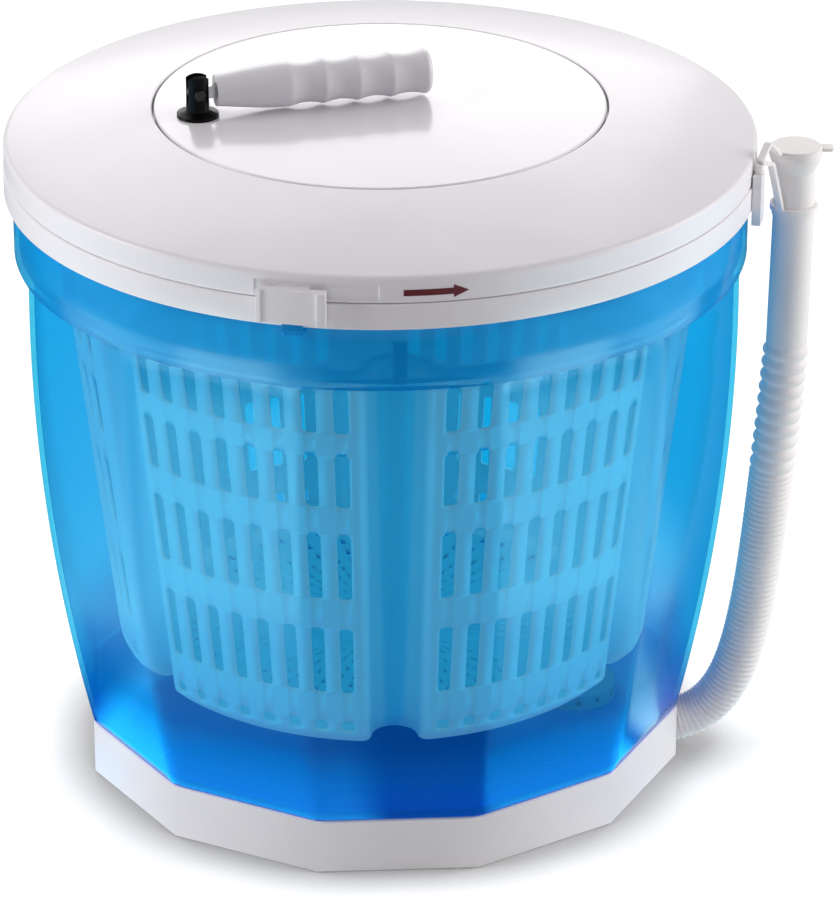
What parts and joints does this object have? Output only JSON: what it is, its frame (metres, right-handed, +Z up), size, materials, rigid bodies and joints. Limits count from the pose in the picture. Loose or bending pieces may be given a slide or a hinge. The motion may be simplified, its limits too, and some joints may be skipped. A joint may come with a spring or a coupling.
{
  "type": "mini washing machine",
  "caption": "Free-standing hand-cranked mini washing machine: clear tub with a fluted slotted basket, geared crank lid with a folding grip, sliding latches and a ribbed drain hose.",
  "frame": {"origin": "on the basket's axis, at the level of the surface that the feet stand on", "axes": "+Z up along the basket's axis, -Y towards the front latch side, +X towards the drain hose"},
  "size_m": [0.3949, 0.3676, 0.3609],
  "materials": {
    "white_plastic": "gloss moulded",
    "blue_clear": "clear tinted, gloss",
    "basket_plastic": "satin moulded",
    "grey_plastic": "satin moulded",
    "black_plastic": "gloss moulded",
    "hose_plastic": "soft satin",
    "rubber": "matt",
    "steel": "brushed"
  },
  "bodies": {
    "tub": {"tub": "blue_clear", "base": "white_plastic", "rubber_feet": "rubber", "base_screws": "steel", "pivot_pin": "steel", "collar": "white_plastic", "drain_outlet": "grey_plastic", "outlet_seal": "rubber", "outlet_nut": "grey_plastic", "outlet_strainer": "grey_plastic", "drain_hose": "hose_plastic", "hose_connector": "hose_plastic", "hose_hanger": "white_plastic", "hose_clip": "hose_plastic"},
    "plug": {"drain_plug": "hose_plastic"},
    "lid": {"lid_cover": "white_plastic", "lid_seal": "rubber", "gear_plate": "grey_plastic", "plate_screws": "steel", "planet_pins": "steel", "shaft_bush": "grey_plastic", "slide_ring": "grey_plastic"},
    "turntable": {"turntable": "white_plastic", "ring_gear": "grey_plastic", "ring_gear_screws": "steel", "handle_post": "black_plastic", "post_nut": "steel", "hinge_pin": "steel"},
    "planet_1": {"planet_gear_1": "grey_plastic"},
    "planet_2": {"planet_gear_2": "grey_plastic"},
    "planet_3": {"planet_gear_3": "grey_plastic"},
    "drive": {"sun_gear": "grey_plastic", "drive_shaft": "grey_plastic", "shaft_clip": "steel"},
    "basket": {"basket": "basket_plastic", "basket_bush": "grey_plastic", "drive_spider": "basket_plastic", "spider_screws": "steel"},
    "handle": {"handle_spindle": "steel", "grip_screw": "steel"},
    "grip": {"grip": "white_plastic", "grip_cap": "white_plastic"},
    "front_latch": {"front_latch": "white_plastic"},
    "rear_latch": {"rear_latch": "white_plastic"}
  },
  "joints": [
    {"name": "lid_lift", "type": "slide", "parent": "tub", "child": "lid", "axis": [0, 0, 1], "range_m": [0, 0.16]},
    {"name": "crank_spin", "type": "hinge", "parent": "lid", "child": "turntable", "pos_m": [0, 0, 0.3], "axis": [0, 0, 1], "continuous": true},
    {"name": "planet_1_spin", "type": "hinge", "parent": "lid", "child": "planet_1", "pos_m": [0, 0.042, 0.325], "axis": [0, 0, 1], "continuous": true},
    {"name": "planet_2_spin", "type": "hinge", "parent": "lid", "child": "planet_2", "pos_m": [-0.03637, -0.021, 0.325], "axis": [0, 0, 1], "continuous": true},
    {"name": "planet_3_spin", "type": "hinge", "parent": "lid", "child": "planet_3", "pos_m": [0.03637, -0.021, 0.325], "axis": [0, 0, 1], "continuous": true},
    {"name": "drive_spin", "type": "hinge", "parent": "lid", "child": "drive", "pos_m": [0, 0, 0.3], "axis": [0, 0, 1], "continuous": true},
    {"name": "basket_spin", "type": "hinge", "parent": "tub", "child": "basket", "pos_m": [0, 0, 0.15], "axis": [0, 0, 1], "continuous": true},
    {"name": "handle_fold", "type": "hinge", "parent": "turntable", "child": "handle", "pos_m": [-0.08714, -0.01225, 0.35], "axis": [0.2011, -0.9796, 0], "range_deg": [0, 90]},
    {"name": "grip_spin", "type": "hinge", "parent": "handle", "child": "grip", "pos_m": [-0.08714, -0.01225, 0.35], "axis": [0.9796, 0.2011, 0], "continuous": true},
    {"name": "front_latch_slide", "type": "hinge", "parent": "lid", "child": "front_latch", "pos_m": [0, 0, 0.31], "axis": [0, 0, 1], "range_deg": [0, 7.4]},
    {"name": "rear_latch_slide", "type": "hinge", "parent": "lid", "child": "rear_latch", "pos_m": [0, 0, 0.31], "axis": [0, 0, 1], "range_deg": [0, 7.4]},
    {"name": "plug_pull", "type": "slide", "parent": "tub", "child": "plug", "axis": [0, 0, 1], "range_m": [0, 0.02]}
  ],
  "couplings": [
    {"joint": "planet_1_spin", "follows": "crank_spin", "ratio": 3},
    {"joint": "planet_2_spin", "follows": "crank_spin", "ratio": 3},
    {"joint": "planet_3_spin", "follows": "crank_spin", "ratio": 3},
    {"joint": "drive_spin", "follows": "crank_spin", "ratio": -3},
    {"joint": "basket_spin", "follows": "crank_spin", "ratio": -3}
  ]
}
